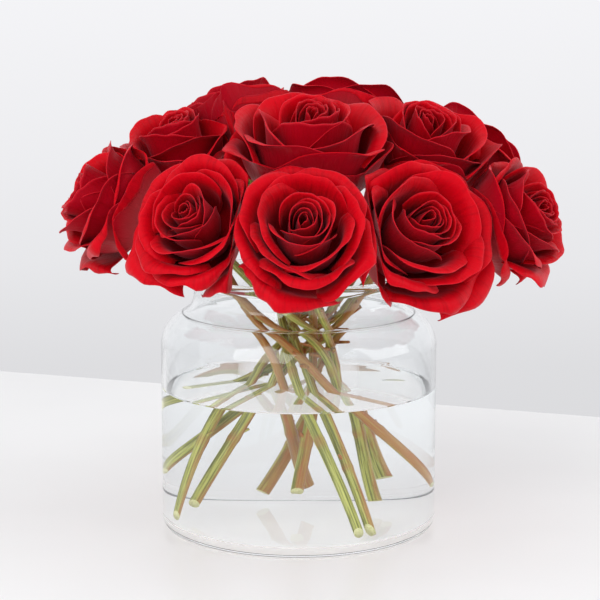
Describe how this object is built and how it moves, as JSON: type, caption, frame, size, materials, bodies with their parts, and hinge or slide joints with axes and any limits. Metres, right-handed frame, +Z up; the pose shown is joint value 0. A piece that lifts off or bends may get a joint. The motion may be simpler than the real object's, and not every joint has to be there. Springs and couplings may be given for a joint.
{
  "type": "roses in a vase",
  "caption": "Bouquet of red roses in a low dome, standing in a wide clear glass vase with a short neck, part filled with water.",
  "frame": {"origin": "centre of the vase's flat underside, where it stands on the table", "axes": "+Z up along the vase's axis; -Y is the front of the bouquet, the side in the picture; +X to the right in the picture"},
  "size_m": [0.2952, 0.25, 0.2654],
  "materials": {
    "glass": "clear, polished",
    "water": "clear water",
    "petals": "velvety deep red petals",
    "stems": "smooth green stem with reddish brown parts"
  },
  "bodies": {
    "root": {"vase": "glass", "water": "water", "bloom_01": "petals", "bloom_02": "petals", "bloom_03": "petals", "bloom_04": "petals", "bloom_05": "petals", "bloom_06": "petals", "bloom_07": "petals", "bloom_08": "petals", "bloom_09": "petals", "bloom_10": "petals", "bloom_11": "petals", "bloom_12": "petals", "stem_01": "stems", "stem_02": "stems", "stem_03": "stems", "stem_04": "stems", "stem_05": "stems", "stem_06": "stems", "stem_07": "stems", "stem_08": "stems", "stem_09": "stems", "stem_10": "stems", "stem_11": "stems", "stem_12": "stems"}
  },
  "joints": []
}
